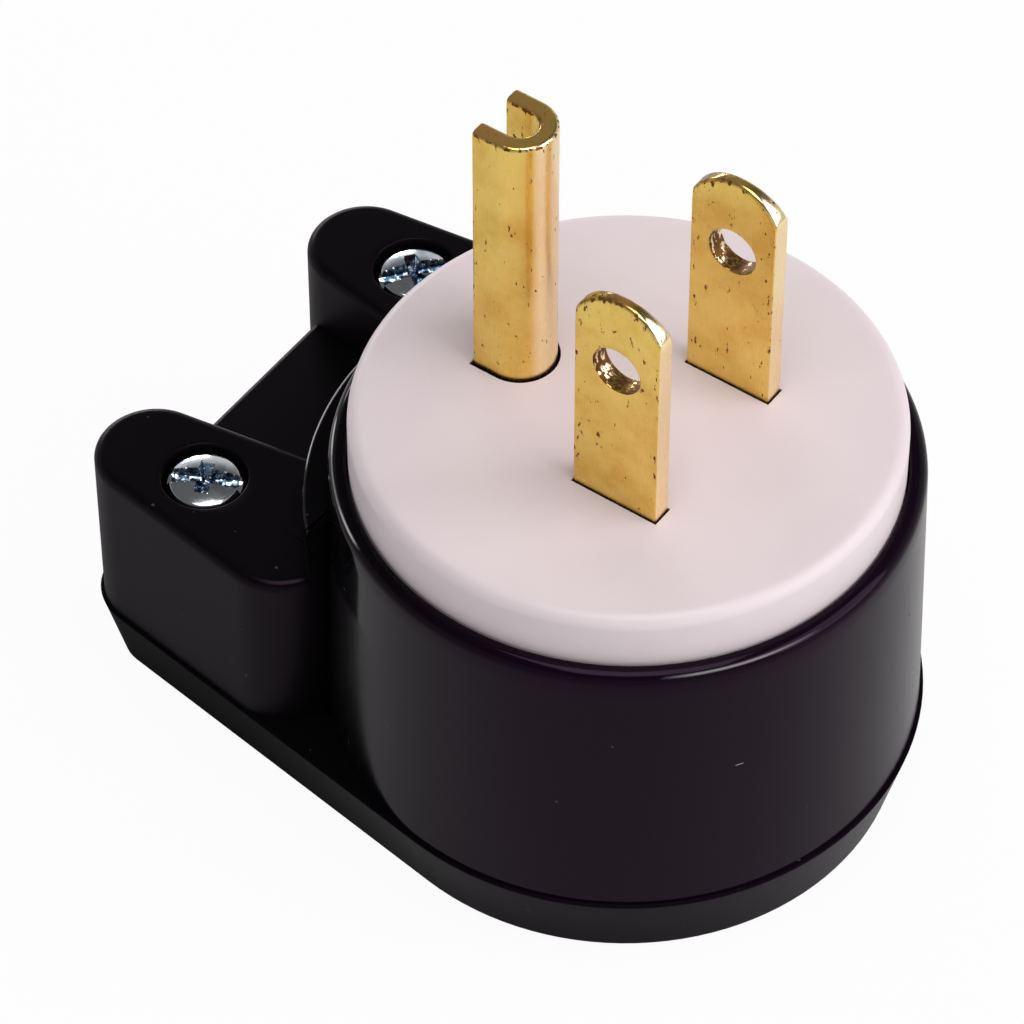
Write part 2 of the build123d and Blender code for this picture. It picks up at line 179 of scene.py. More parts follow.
# rounded: the edges are rounded in the normal, for a node whose mesh stays as it is
def blackPlastic(name, look, rounded):
    finish, wire, shader = newFinish(name)
    place = objectPlace(wire)
    x, y, z = (place.part(axis) for axis in range(3))
    speck = place.noise(*look["dustNoise"]).step(*look["dustRange"])
    # roughness: the far wall, then the side of the cord, where tops and walls differ
    level = wire.node("ShaderNodeNewGeometry", output="Normal").part(2).step(*look["levelRange"])
    far = y.step(look["farFrom"], look["farTo"]) * (1.0 - level)
    plain = look["roughness"] + (look["farDull"] - look["roughness"]) * far
    matt = look["dull"] + (look["dullTops"] - look["dull"]) * level
    dull = (1.0 - x.step(look["dullTo"], look["dullFrom"])) * (1.0 - z.step(*look["dullHeights"]))
    # the scratch: a short line along the wall, on the near side only
    turn, spot = math.radians(look["scratchTurn"]), look["scratchPlace"]
    along = wire.maths("ABSOLUTE", (x - spot[0]) * math.cos(turn) + (y - spot[1]) * math.sin(turn))
    across = wire.maths("ABSOLUTE", z - spot[2])
    scratch = (1.0 - along.step(*look["scratchLength"])) * (1.0 - y.step(*look["scratchSide"]))
    scratch = scratch * (1.0 - across.step(*look["scratchWidth"]))
    others = {}
    if rounded:
        others["Normal"] = wire.node("ShaderNodeBevel", {"samples": look["edgeSamples"]},
                                     {"Radius": look["edgeRadius"]})
    bump = place.noise(*look["grainNoise"]).bump(look["grainHeight"], **others)
    cord = 1.0 - x.step(look["cordTo"], look["cordFrom"])
    tone = speck.mixColour(cord.mixColour(look["colour"], look["cordColour"]), look["dust"])
    # the attribute's share paints pale highlights on the housing's edges
    tone = wearAndLightShare(wire).mixColour(tone, look["wearAndSheen"])
    plug(wire, shader, {"Base Color": scratch.mixColour(tone, look["scratch"]), "Normal": bump,
                        "Roughness": plain + (matt - plain) * dull + speck * look["dustRoughness"],
                        "Specular IOR Level": look["specular"], "Specular Tint": look["tint"]})
    return finish


# off-white moulded face: slow change of tone, a fine orange-peel skin, painted shade inside the openings
whiteLook = {"colour": (0.8, 0.7, 0.735, 1), "cloud": (0.77, 0.675, 0.71, 1), "cloudNoise": (120.0, 3.0),
             "cloudRange": (0.35, 0.7), "roughness": 0.42, "skinNoise": (1400.0, 2.0),
             "skinHeight": 0.003 * mm, "skinRoughness": 0.1, "openingShade": (0.05, 0.035, 0.025, 1),
             "openingShadeHeights": (31.68 * mm, 31.9 * mm), "openingShadeReach": 16.5 * mm, "reachRange": (0.98, 1.02)}


def whitePlastic():
    look = whiteLook
    finish, wire, shader = newFinish("whitePlastic")
    place = objectPlace(wire)
    x, y, z = (place.part(axis) for axis in range(3))
    skin = place.noise(*look["skinNoise"])
    # painted shade: the walls of the openings below the face are dark
    reach = (x * x + y * y) / look["openingShadeReach"] ** 2
    deep = (1.0 - z.step(*look["openingShadeHeights"])) * (1.0 - reach.step(*look["reachRange"]))
    cloud = place.noise(*look["cloudNoise"]).step(*look["cloudRange"])
    tone = cloud.mixColour(look["colour"], look["cloud"])
    plug(wire, shader, {"Base Color": deep.mixColour(tone, look["openingShade"]),
                        "Normal": skin.bump(look["skinHeight"]),
                        "Roughness": look["roughness"] + (skin - noiseMiddle) * look["skinRoughness"]})
    return finish


# stamped brass: drawn lines along the contact, stains, brown pits thickest along the edges, a painted
# highlight on sides that face +x, ends brown with stains, as tarnish and painted shade, darkest on the cord
# side and painted pale on the other, painted contact shade at the roots
brassLook = {"colour": (0.9, 0.64, 0.165, 1), "roughness": 0.27,
             "stain": (0.78, 0.49, 0.1, 1), "stainNoise": (330.0, 6.0, 0.65), "stainRange": (0.38, 0.72),
             "pit": (0.16, 0.065, 0.016, 1), "pitNoise": (2900.0, 3.0, 0.6), "pitStretch": 0.4,
             "pitRange": (0.65, 0.71),
             "stainPits": 0.05, "edgePits": 0.06, "pitMetal": 0.1, "pitRoughness": 0.3,
             "lineNoise": (2600.0, 2.0), "lineStretch": 0.05, "lineHeight": 0.004 * mm,
             "lineRoughness": 0.12,
             "cut": (1.0, 0.8, 0.5, 1), "paintedSheenRange": (0.75, 0.95), "paintedSheenShare": 0.8,
             "upRange": (0.3, 0.6), "paintedPaleTopRange": (0.25, 0.5), "brownRange": (0.0, 0.3),
             "end": (0.52, 0.29, 0.08, 1), "endRange": (0.35, 0.6), "endLeast": 0.5, "endMetal": 0.4,
             "paintedCordShade": (0.1, 0.05, 0.015, 1), "paintedCordShadeRange": (-0.45, -0.05),
             "smooth": 0.13, "smoothRange": (0.2, 0.5),
             "root": (0.3, 0.17, 0.05, 1), "paintedRootShadeHeights": (31.93 * mm, 32.43 * mm), "paintedRootShadeShare": 0.8}


def stampedBrass():
    look = brassLook
    finish, wire, shader = newFinish("stampedBrass")
    place = objectPlace(wire)
    lines = place.stretch(look["lineStretch"]).noise(*look["lineNoise"])
    stain = place.noise(*look["stainNoise"])
    pits = place.stretch(look["pitStretch"]).noise(*look["pitNoise"])
    pits = pits + look["stainPits"] * (stain - noiseMiddle) + look["edgePits"] * wearAndLightShare(wire)
    pit = pits.step(*look["pitRange"])
    # painted highlight and painted shade, told by the way that the surface faces: pale towards +x, brown and
    # dark towards the cord side
    facing = wire.node("ShaderNodeNewGeometry", output="Normal")
    aside, up = facing.part(0), facing.part(2)
    # painted highlight: pale on sides that face +x and on tops that lean that way
    cut = aside.step(*look["paintedSheenRange"])
    paintedPaleTop = up.step(*look["upRange"]) * aside.step(*look["paintedPaleTopRange"])
    # tops facing the cord side: brown, broken by stains, part tarnish and part painted shade
    end = up.step(*look["upRange"]) * (1.0 - aside.step(*look["brownRange"]))
    end = end * (look["endLeast"] + (1.0 - look["endLeast"]) * stain.step(*look["endRange"]))
    # painted shade: nearly black where the ends face the cord side most
    paintedCordShade = 1.0 - aside.step(*look["paintedCordShadeRange"])
    # painted contact shade: darker where the contact comes out of the face
    root = 1.0 - place.part(2).step(*look["paintedRootShadeHeights"])
    tone = stain.step(*look["stainRange"]).mixColour(look["colour"], look["stain"])
    tone = (look["paintedSheenShare"] * cut + paintedPaleTop).mixColour(tone, look["cut"])
    tone = end.mixColour(tone, paintedCordShade.mixColour(look["end"], look["paintedCordShade"]))
    tone = (look["paintedRootShadeShare"] * root).mixColour(tone, look["root"])
    rough = look["roughness"] + look["lineRoughness"] * (lines - noiseMiddle) + look["pitRoughness"] * pit
    plug(wire, shader, {"Base Color": pit.mixColour(tone, look["pit"]),
                        "Metallic": 1.0 - look["pitMetal"] * pit - look["endMetal"] * end,
                        "Normal": (lines - pit).bump(look["lineHeight"]),
                        "Roughness": rough - look["smooth"] * up.step(*look["smoothRange"])})
    return finish


# bright zinc on the screw heads: bluish, a little uneven, with painted shade and painted glints in the slots
zincLook = {"colour": (0.88, 0.9, 0.94, 1), "blue": (0.55, 0.64, 0.74, 1), "patchNoise": (900.0, 3.0),
            "patchRange": (0.45, 0.68), "roughness": 0.12, "patchRoughness": 0.15, "skinHeight": 0.01 * mm,
            "slot": (0.1, 0.17, 0.24, 1), "paintedGlint": (0.85, 0.92, 1.0, 1), "paintedGlintNoise": (2600.0, 2.0),
            "paintedGlintRange": (0.48, 0.6)}


def brightZinc():
    look = zincLook
    finish, wire, shader = newFinish("brightZinc")
    place = objectPlace(wire)
    patch = place.noise(*look["patchNoise"])
    # painted shade with painted glints down the walls of the slot and the cross
    paintedGlint = place.noise(*look["paintedGlintNoise"]).step(*look["paintedGlintRange"])
    tone = patch.step(*look["patchRange"]).mixColour(look["colour"], look["blue"])
    paintedRecess = paintedGlint.mixColour(look["slot"], look["paintedGlint"])
    plug(wire, shader, {"Base Color": wearAndLightShare(wire).mixColour(tone, paintedRecess), "Metallic": 1.0,
                        "Normal": patch.bump(look["skinHeight"]),
                        "Roughness": look["roughness"] + look["patchRoughness"] * (patch - noiseMiddle)})
    return finish


# parts inside the plug: two tones, roughness and metal of each, and the patches that they share
plainLooks = {
    "retainer_fibre": {"tones": ((0.2, 0.15, 0.13, 1), (0.14, 0.1, 0.09, 1)),
                       "roughness": 0.7, "metallic": 0.0},
    "terminal_brass": {"tones": ((0.75, 0.56, 0.26, 1), (0.66, 0.46, 0.2, 1)),
                       "roughness": 0.28, "metallic": 1.0},
    "terminal_nickel": {"tones": ((0.76, 0.75, 0.72, 1), (0.66, 0.65, 0.63, 1)),
                        "roughness": 0.25, "metallic": 1.0},
    "terminal_green": {"tones": ((0.03, 0.24, 0.08, 1), (0.02, 0.18, 0.06, 1)),
                       "roughness": 0.35, "metallic": 0.0},
}
patchLook = {"noise": (700.0, 3.0), "range": (0.35, 0.7), "roughness": 0.2}


def plainFinish(name):
    look = plainLooks[name]
    finish, wire, shader = newFinish(name)
    patch = objectPlace(wire).noise(*patchLook["noise"])
    plug(wire, shader, {"Base Color": patch.step(*patchLook["range"]).mixColour(*look["tones"]),
                        "Roughness": look["roughness"] + patchLook["roughness"] * (patch - noiseMiddle),
                        "Metallic": look["metallic"]})
    return finish


finishes = {name: plainFinish(name) for name in plainLooks}
finishes["black_shell"] = blackPlastic("blackPlastic", blackLook, False)
finishes["white_face"] = whitePlastic()
finishes["contact_brass"] = stampedBrass()
finishes["screw_zinc"] = brightZinc()

# every CAD node takes the finish of its slot in the record, the cover with its edges rounded in the normal
slotOf = {part["node"]: part["material_slot"] for part in frame["record"]["subparts"]}
coverFinish = blackPlastic("blackCover", coverLook, True)
for name, piece in nodes.items():
    piece.data.materials.clear()
    piece.data.materials.append(coverFinish if name == "back_cover" else finishes[slotOf[name]])
print("finishes on", len(nodes), "nodes")


# quads between the rows and columns of a grid; a closed direction joins its last line to its first
def gridFaces(rows, columns, closedRows, closedColumns):
    index = np.arange(rows * columns).reshape(rows, columns)
    if closedRows:
        index = np.concatenate([index, index[:1]])
    if closedColumns:
        index = np.concatenate([index, index[:, :1]], axis=1)
    return np.stack([index[:-1, :-1], index[:-1, 1:], index[1:, 1:], index[1:, :-1]], -1).reshape(-1, 4)


mergeDistance = 2e-7   # metres: nearer points become one
slimEdge = 1e-7   # metres: shorter edges go


# one mesh from grids in millimetres: each merged along its poles and seams, or all together
# where they share edges, with flat planes of triangles if any are given, and faces outwards;
# edges that turn by more than sharp degrees stay hard
def makePiece(name, grids, finish, node, sharp=40.0, planes=(), joined=False, wearAndPaintedLight=None):
    whole = bmesh.new()
    sheets = [(grid.reshape(-1, 3), gridFaces(*grid.shape[:2], closedRows, closedColumns))
              for grid, closedRows, closedColumns in grids]
    for points, faces in sheets + list(planes):
        sheet = bpy.data.meshes.new("sheet")
        sheet.from_pydata(points * mm, [], faces)
        work = bmesh.new()
        work.from_mesh(sheet)
        bmesh.ops.remove_doubles(work, verts=work.verts, dist=mergeDistance)
        bmesh.ops.dissolve_degenerate(work, edges=work.edges, dist=slimEdge)
        work.to_mesh(sheet)
        work.free()
        whole.from_mesh(sheet)
        bpy.data.meshes.remove(sheet)
    if joined or planes:
        bmesh.ops.remove_doubles(whole, verts=whole.verts, dist=mergeDistance)
    bmesh.ops.recalc_face_normals(whole, faces=whole.faces)
    openEdges = sum(not edge.is_manifold for edge in whole.edges)
    mesh = bpy.data.meshes.new(name)
    whole.to_mesh(mesh)
    whole.free()
    mesh.polygons.foreach_set("use_smooth", np.ones(len(mesh.polygons), dtype=bool))
    mesh.set_sharp_from_angle(angle=math.radians(sharp))
    if wearAndPaintedLight is not None:
        place = np.empty(len(mesh.vertices) * 3)
        mesh.vertices.foreach_get("co", place)
        share = mesh.attributes.new("wearAndPaintedLight", "FLOAT", "POINT")
        share.data.foreach_set("value", wearAndPaintedLight(place.reshape(-1, 3) / mm))
    mesh.materials.append(finish)
    piece = bpy.data.objects.new(name, mesh)
    scene.collection.objects.link(piece)
    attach(piece, "root")
    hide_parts(node)
    print(name, "has", len(mesh.polygons), "faces and", openEdges, "open edges")


wallGap = 0.15   # millimetres of straight wall or flat top between a rounded edge and the next row
mitreLimit = 0.5   # bounds how far a sharp corner moves


# quarter round of an edge: distances in from the wall and down from the top, from wall to top
def edgeRound(radius, count=7):
    angle = np.linspace(0.0, math.pi / 2, count)
    return radius * (1 - np.cos(angle)), radius * (1 - np.sin(angle))


# points of an arc in plan, angles in degrees
def arcPoints(centre, radius, first, last, count):
    angle = np.radians(np.linspace(first, last, count))
    return np.column_stack([centre[0] + radius * np.cos(angle), centre[1] + radius * np.sin(angle)])


def linePoints(first, last, count):
    return np.linspace(np.asarray(first, float), np.asarray(last, float), count)


# how each point of a line moves when the line is pushed out by 1: the normals of its two sides, mitred
def outwardNormals(line, closed=True):
    side = np.roll(line, -1, 0) - line
    if not closed:
        side[-1] = side[-2]
    normal = np.column_stack([side[:, 1], -side[:, 0]]) / np.linalg.norm(side, axis=1, keepdims=True)
    before = np.roll(normal, 1, 0)
    if closed:
        turning = np.sum(line[:, 0] * np.roll(line[:, 1], -1) - np.roll(line[:, 0], -1) * line[:, 1])
        normal, before = normal * np.sign(turning), before * np.sign(turning)
    else:
        before[0] = normal[0]
    return (normal + before) / np.maximum(1 + np.sum(normal * before, axis=1, keepdims=True), mitreLimit)


# a row of a grid: points in plan at one height or at one height each
def levelRow(flat, height):
    return np.column_stack([flat, np.broadcast_to(height, len(flat))])


# cup of the housing; the sizes of this piece and the next ones are in millimetres and degrees
cupLook = {"parting": 6.08, "bodyRadius": 19.995, "rimRadius": 19.42, "rimTop": 28.05, "rimEdge": 0.9,
           "rimGap": 0.2, "bandHeight": 2.0, "lipEdge": 0.12, "seatRadius": 18.24, "seat": 23.93,
           "shoulderRadius": 15.795, "shoulderUnder": 21.53, "chamberRadius": 17.795, "passage": 4.28,
           "slotRadius": 18.745, "slotFoot": 8.88, "slotTop": 10.88, "slotAngle": 13.2, "columns": 256}


# radius and height along a closed profile, turned round the axis; its foot is raised over the cord passage,
# and the wall is deeper where the cover's hook catches
def cupGrid():
    look = cupLook
    top, foot = look["rimTop"], look["parting"]
    inRim, downRim = edgeRound(look["rimEdge"], 13)
    inLip, downLip = edgeRound(look["lipEdge"], 4)
    wall = np.append(np.linspace(foot, top - look["bandHeight"], 6), top - look["rimEdge"] - look["rimGap"])
    slope = (look["bodyRadius"] - look["rimRadius"]) / (top - foot)
    radius = np.concatenate([look["bodyRadius"] - slope * (wall - foot), look["rimRadius"] - inRim,
                             look["seatRadius"] + inLip[::-1],
                             [look["seatRadius"], look["shoulderRadius"], look["shoulderRadius"]],
                             np.full(6, look["chamberRadius"])])
    steps = [look[key] for key in ("seat", "shoulderUnder", "slotTop", "slotFoot")]
    height = np.concatenate([wall, top - downRim, top - downLip[::-1], np.repeat(steps, 2), [foot]])
    angle = np.linspace(0.0, 2 * math.pi, look["columns"], endpoint=False)
    reach = np.repeat(radius[:, None], len(angle), axis=1)
    hook = np.cos(angle) > math.cos(math.radians(look["slotAngle"]))
    reach[-4:-2, hook] = look["slotRadius"]   # the two rows of the slot's bottom
    x = reach * np.cos(angle)
    y = reach * np.sin(angle)
    arch = np.where(x < 0, foot + np.sqrt(np.maximum(look["passage"] ** 2 - y ** 2, 0.0)), foot)
    return np.stack([x, y, np.maximum(height[:, None] + 0 * x, arch)], -1), True, True


# screw ears: plan sizes of the +Y one, the other is its mirror image
earLook = {"tip": (-30.07, 11.82), "tipRadius": 4.04, "innerAngle": 9.4, "back": -14.17, "endRadius": 4.2,
           "rootRadius": 18.9, "foot": 6.08, "top": 19.65, "edge": 0.7, "screw": (-25.83, 11.82),
           "pocketRadius": 2.925, "pocketEdge": 0.1, "pocketFloor": 17.35, "holeRadius": 1.7,
           "topShares": (0.0, 0.3, 0.6, 0.9)}


# slope of the outer side in degrees, and the middle of the rounding where the ear ends at the cup
def earSide():
    look = earLook
    tip = np.array(look["tip"])
    reach = np.linalg.norm(tip)
    slope = math.asin((cupLook["bodyRadius"] - look["tipRadius"]) / reach) - math.atan2(tip[1], -tip[0])
    normal = np.array([-math.sin(slope), math.cos(slope)])
    along = np.array([math.cos(slope), math.sin(slope)])
    start = tip + normal * (look["tipRadius"] - look["endRadius"])
    end = start + along * ((look["back"] - look["endRadius"] - start[0]) / along[0])
    return math.degrees(slope), end


# plan of an ear: tip arc, outer side, end rounding, an arc hidden in the cup's wall, inner side
def earPlan():
    look = earLook
    slope, end = earSide()
    tip = np.array(look["tip"])
    inner = math.radians(look["innerAngle"])
    tipArc = arcPoints(tip, look["tipRadius"], 270.0 - look["innerAngle"], 90.0 + slope, 48)
    endArc = arcPoints(end, look["endRadius"], 90.0 + slope, 0.0, 30)
    along = np.array([math.cos(inner), -math.sin(inner)])
    middle = tipArc[0] @ along
    reach = math.sqrt(middle ** 2 - tipArc[0] @ tipArc[0] + look["rootRadius"] ** 2)
    inside = tipArc[0] - along * (middle + reach)
    first, last = (math.degrees(math.atan2(point[1], point[0])) for point in (endArc[-1], inside))
    root = arcPoints((0.0, 0.0), look["rootRadius"], first, last, 14)
    return np.concatenate([tipArc, linePoints(tipArc[-1], endArc[0], 14)[1:-1], endArc, root,
                           linePoints(root[-1], tipArc[0], 18)[1:-1]])


# rows of the plan from the foot up the wall, over the rounded edge, in to the screw pocket and down its hole
def earGrid(side):
    look = earLook
    plan = earPlan()
    normal = outwardNormals(plan)
    centre = np.array(look["screw"])
    ray = (plan - centre) / np.linalg.norm(plan - centre, axis=1, keepdims=True)
    inEdge, downEdge = edgeRound(look["edge"], 9)
    inPocket, downPocket = edgeRound(look["pocketEdge"], 4)
    shelf = plan - normal * (look["edge"] + wallGap)
    mouth = centre + ray * (look["pocketRadius"] + look["pocketEdge"])
    rows = [levelRow(plan, look["foot"]), levelRow(plan, look["top"] - look["edge"] - wallGap)]
    rows += [levelRow(plan - normal * inset, look["top"] - drop) for inset, drop in zip(inEdge, downEdge)]
    rows += [levelRow(shelf + (mouth - shelf) * share, look["top"]) for share in look["topShares"]]
    rows += [levelRow(centre + ray * (look["pocketRadius"] + inset), look["top"] - drop)
             for inset, drop in zip(inPocket[::-1], downPocket[::-1])]
    hole = ((look["pocketRadius"], look["pocketFloor"]), (look["holeRadius"], look["pocketFloor"]),
            (look["holeRadius"], look["foot"]))
    rows += [levelRow(centre + ray * radius, height) for radius, height in hole]
    return np.stack(rows) * (1.0, side, 1.0), True, True


# collar round the cord side of the cup, a hair inside the ears' end roundings
collarLook = {"radius": 21.14, "rootRadius": 18.9, "rootAngle": 141.0, "foot": 11.0, "top": 24.3,
              "edge": 0.35, "sink": 0.03, "heel": 0.6}


# a strip between an outer line and the cup's wall in plan, carried up to a rounded top edge
def collarGrid():
    look = collarLook
    end = earSide()[1]
    radius = earLook["endRadius"] - look["sink"]
    turn = math.atan2(end[1], end[0])
    reach = np.linalg.norm(end)
    meet = turn - math.acos((look["radius"] ** 2 - reach ** 2 - radius ** 2) / (2 * radius * reach))
    endArc = arcPoints(end, radius, 0.0, math.degrees(meet), 16)
    first = math.degrees(math.atan2(endArc[-1, 1], endArc[-1, 0]))
    half = np.concatenate([arcPoints((0.0, 0.0), look["rootRadius"], look["rootAngle"], look["rootAngle"], 1),
                           linePoints(endArc[0] - (0.0, look["heel"]), endArc[0], 4)[:-1], endArc,
                           arcPoints((0.0, 0.0), look["radius"], first, 180.0, 64)[1:]])
    outer = np.concatenate([half, half[-2::-1] * (1.0, -1.0)])
    angle = np.degrees(np.arctan2(outer[:, 1], outer[:, 0])) % 360.0
    angle = np.radians(np.clip(angle, look["rootAngle"], 360.0 - look["rootAngle"]))
    inner = look["rootRadius"] * np.column_stack([np.cos(angle), np.sin(angle)])
    normal = outwardNormals(outer, closed=False)
    normal[[0, -1]] = 0.0
    inEdge, downEdge = edgeRound(look["edge"], 7)
    insets = np.concatenate([[0.0, 0.0], inEdge])
    heights = np.concatenate([[look["foot"], look["top"] - look["edge"] - wallGap], look["top"] - downEdge])
    rows = [levelRow(outer - normal * inset, height) for inset, height in zip(insets, heights)]
    rows += [levelRow(inner, height) for height in heights[::-1]]
    return np.stack(rows), True, False


# roof of the cord passage between the ears
roofLook = {"front": -31.91, "rootRadius": 18.9, "halfWidth": 9.4, "foot": 6.08, "top": 13.83, "edge": 0.5,
            "passage": 4.28, "gripStart": (-27.51, -24.11), "gripWidth": 1.6, "gripSpan": 2.5,
            "gripDepth": 0.6}


# a section along the cord, closed over the passage's half-round and its cross slots, carried across
def roofGrid():
    look = roofLook
    bend = look["passage"] * np.sin(np.radians(np.linspace(-90.0, 90.0, 49)))
    side = np.linspace(look["passage"], look["halfWidth"], 8)[1:]
    y = np.concatenate([-side[::-1], bend, side])
    arch = look["foot"] + np.sqrt(np.maximum(look["passage"] ** 2 - y ** 2, 0.0))
    deep = np.where(np.abs(y) < look["gripSpan"], look["foot"] + look["passage"] + look["gripDepth"], arch)
    back = -np.sqrt(look["rootRadius"] ** 2 - y ** 2)
    inEdge, downEdge = edgeRound(look["edge"], 7)
    front = np.full_like(y, look["front"])
    top = np.full_like(y, look["top"])
    rows = [(front, arch), (front, top - look["edge"] - wallGap)]
    rows += [(front + inset, top - drop) for inset, drop in zip(inEdge, downEdge)]
    rows += [(back, top), (back, arch)]
    for start in look["gripStart"][::-1]:
        rows += [(np.full_like(y, start + look["gripWidth"]), height) for height in (arch, deep)]
        rows += [(np.full_like(y, start), height) for height in (deep, arch)]
    grid = np.stack([np.column_stack([x, y, z]) for x, z in rows])
    ends = np.repeat(grid[:, [0, -1]].mean(axis=0, keepdims=True), len(grid), axis=0)
    return np.concatenate([ends[:, :1], grid, ends[:, 1:]], axis=1), True, False


# painted highlights on edges: shares by angle along the middle row of the collar's rounding and of the rim's,
# and how near to that row a point counts
paintedHighlightLook = {"collarAngles": (181, 184, 208, 211), "collarShares": (0.0, 1.0, 1.0, 0.0),
            "rimAngles": (205, 208, 214, 217, 229, 232, 238, 241, 311, 318, 330, 344),
            "rimShares": (0.0, 1.0, 1.0, 0.35, 0.35, 0.8, 0.8, 0.0, 0.0, 0.35, 0.35, 0.0), "near": 0.02}


# painted highlights: pale lines along the collar's and the rim's rounded edges, set by angle
def housingPaintedHighlights(points):
    angle = np.degrees(np.arctan2(points[:, 1], points[:, 0])) % 360.0
    reach = np.hypot(points[:, 0], points[:, 1])
    share = np.zeros(len(points))
    for name, radius, top, edge in (("collar", collarLook["radius"], collarLook["top"], collarLook["edge"]),
                                    ("rim", cupLook["rimRadius"], cupLook["rimTop"], cupLook["rimEdge"])):
        inset = edge * (1 - math.sqrt(0.5))
        away = np.maximum(np.abs(reach - radius + inset), np.abs(points[:, 2] - top + inset))
        middle = away < paintedHighlightLook["near"]
        share += middle * np.interp(angle, paintedHighlightLook[name + "Angles"], paintedHighlightLook[name + "Shares"])
    return share


makePiece("housingShell", [cupGrid(), collarGrid(), earGrid(1.0), earGrid(-1.0), roofGrid()],
          finishes["black_shell"], "front_housing", wearAndPaintedLight=housingPaintedHighlights)


# flat blades: middle of the pair, then sizes of one, then its wear and painted shade: shares, and where each
# lies and spreads
bladeLook = {"shift": 3.78, "apart": 6.35, "width": 6.35, "thickness": 1.45, "faceTop": 31.93, "length": 17.6,
             "tipRadius": 3.64, "holeHeight": 11.95, "holeRadius": 1.75, "holeEdge": 0.1, "sideEdge": 0.13,
             "tipEdge": 0.24, "taperFrom": 46.2, "taper": 0.34, "foot": 21.53, "footReach": 13.45,
             "terminal": 10.95, "screwHole": 1.8, "faceShares": (0.08, 0.25, 0.5, 0.75),
             "borders": (0.7, 0.3, 0.06),
             "wearAndPaintedLight": {"edgeIn": 0.25, "edgeSpread": 0.3, "sideShare": 1.2, "sideNear": 0.01,
                      "paintedHoleShade": 3.6, "holeNear": 0.03, "burrShare": 2.8, "burrIn": 0.1, "burrSpread": 0.12,
                      "burrRise": 1.2, "burrReach": 0.3, "offTip": 9.0}}


# outline of a blade drawn in at the sides and at the tip, with the same number of points each time
def bladePlan(sideIn=0.0, tipIn=0.0):
    look = bladeLook
    half = look["width"] / 2 - sideIn
    radius = look["tipRadius"] - tipIn
    tipMiddle = look["faceTop"] + look["length"] - look["tipRadius"]
    spread = math.degrees(math.asin(half / radius))
    tip = arcPoints((0.0, tipMiddle), radius, 90.0 + spread, 90.0 - spread, 49)
    left = linePoints((-half, look["foot"] + sideIn), tip[0], 60)[:-1]
    right = linePoints(tip[-1], (half, look["foot"] + sideIn), 60)[1:]
    under = linePoints(right[-1], left[0], 10)[1:-1]
    edge = np.repeat([look["sideEdge"], look["tipEdge"], look["sideEdge"]],
                     [len(left), len(tip), len(right) + len(under)])
    return np.concatenate([left, tip, right, under]), edge


# closed rows from the hole's edge out over one face, round the outline, back over the other face and through
# the hole; both faces draw in towards the tip by the square of the height
def bladeGrid(side):
    look = bladeLook
    plan, edge = bladePlan()
    centre = np.array([0.0, look["faceTop"] + look["holeHeight"]])
    ray = (plan - centre) / np.linalg.norm(plan - centre, axis=1, keepdims=True)
    half = look["thickness"] / 2
    inEdge, downEdge = edgeRound(1.0, 6)
    inHole, downHole = edgeRound(look["holeEdge"], 5)
    mouth = centre + ray * (look["holeRadius"] + look["holeEdge"])
    borders = [bladePlan(look["sideEdge"] + inset, look["tipEdge"] + inset)[0] for inset in look["borders"]]
    flats = [centre + ray * (look["holeRadius"] + inset) for inset in inHole]
    flats += [mouth + (borders[0] - mouth) * share for share in look["faceShares"]] + borders
    flats += [bladePlan(look["sideEdge"] * inset, look["tipEdge"] * inset)[0] for inset in inEdge[::-1]]
    flatRows = len(look["faceShares"]) + len(borders)
    drops = list(downHole) + [0.0] * flatRows + [edge * drop for drop in downEdge[::-1]]
    tipHeight = look["faceTop"] + look["length"] - look["taperFrom"]
    rises = [np.maximum(flat[:, 1] - look["taperFrom"], 0.0) / tipHeight for flat in flats]
    levels = [half - drop - look["taper"] * rise ** 2 for drop, rise in zip(drops, rises)]
    middle = side * look["apart"]
    front, back = ([np.column_stack([flat[:, 0] + look["shift"], middle + way * level, flat[:, 1]])
                    for flat, level in zip(flats, levels)] for way in (1.0, -1.0))
    return np.stack(front + back[::-1]), True, True


# wear as pits: thickest a little way in from the outline and at the tip's left corner, with more on the
# hole's wall as painted shade, and little on the cut sides
def bladeWearAndShade(points):
    look, wearAndSheen = bladeLook, bladeLook["wearAndPaintedLight"]
    tipMiddle = look["faceTop"] + look["length"] - look["tipRadius"]
    across = points[:, 0] - look["shift"]
    tip = look["tipRadius"] - np.hypot(across, points[:, 2] - tipMiddle)
    tip = np.where(points[:, 2] > tipMiddle, tip, wearAndSheen["offTip"])
    inside = np.minimum(look["width"] / 2 - np.abs(across), tip)
    hole = np.hypot(across, points[:, 2] - look["faceTop"] - look["holeHeight"]) - look["holeRadius"]
    burr = (points[:, 2] > tipMiddle + wearAndSheen["burrRise"]) & (across < wearAndSheen["burrReach"])
    side = np.abs(across) > look["width"] / 2 - wearAndSheen["sideNear"]
    return (np.exp(-((inside - wearAndSheen["edgeIn"]) / wearAndSheen["edgeSpread"]) ** 2) - wearAndSheen["sideShare"] * side
            + wearAndSheen["paintedHoleShade"] * (hole < wearAndSheen["holeNear"])
            + wearAndSheen["burrShare"] * burr * np.exp(-((inside - wearAndSheen["burrIn"]) / wearAndSheen["burrSpread"]) ** 2))


# a plate with a screw hole: its outline in plan and rays from the hole, in closed rows over the underside,
# up the wall, over the top and down the hole
def plateGrid(plan, hole, radius, foot, top):
    ray = (plan - hole) / np.linalg.norm(plan - hole, axis=1, keepdims=True)
    bore = hole + ray * radius
    rows = [levelRow(*row) for row in ((bore, foot), (plan, foot), (plan, top), (bore, top))]
    return np.stack(rows), True, True


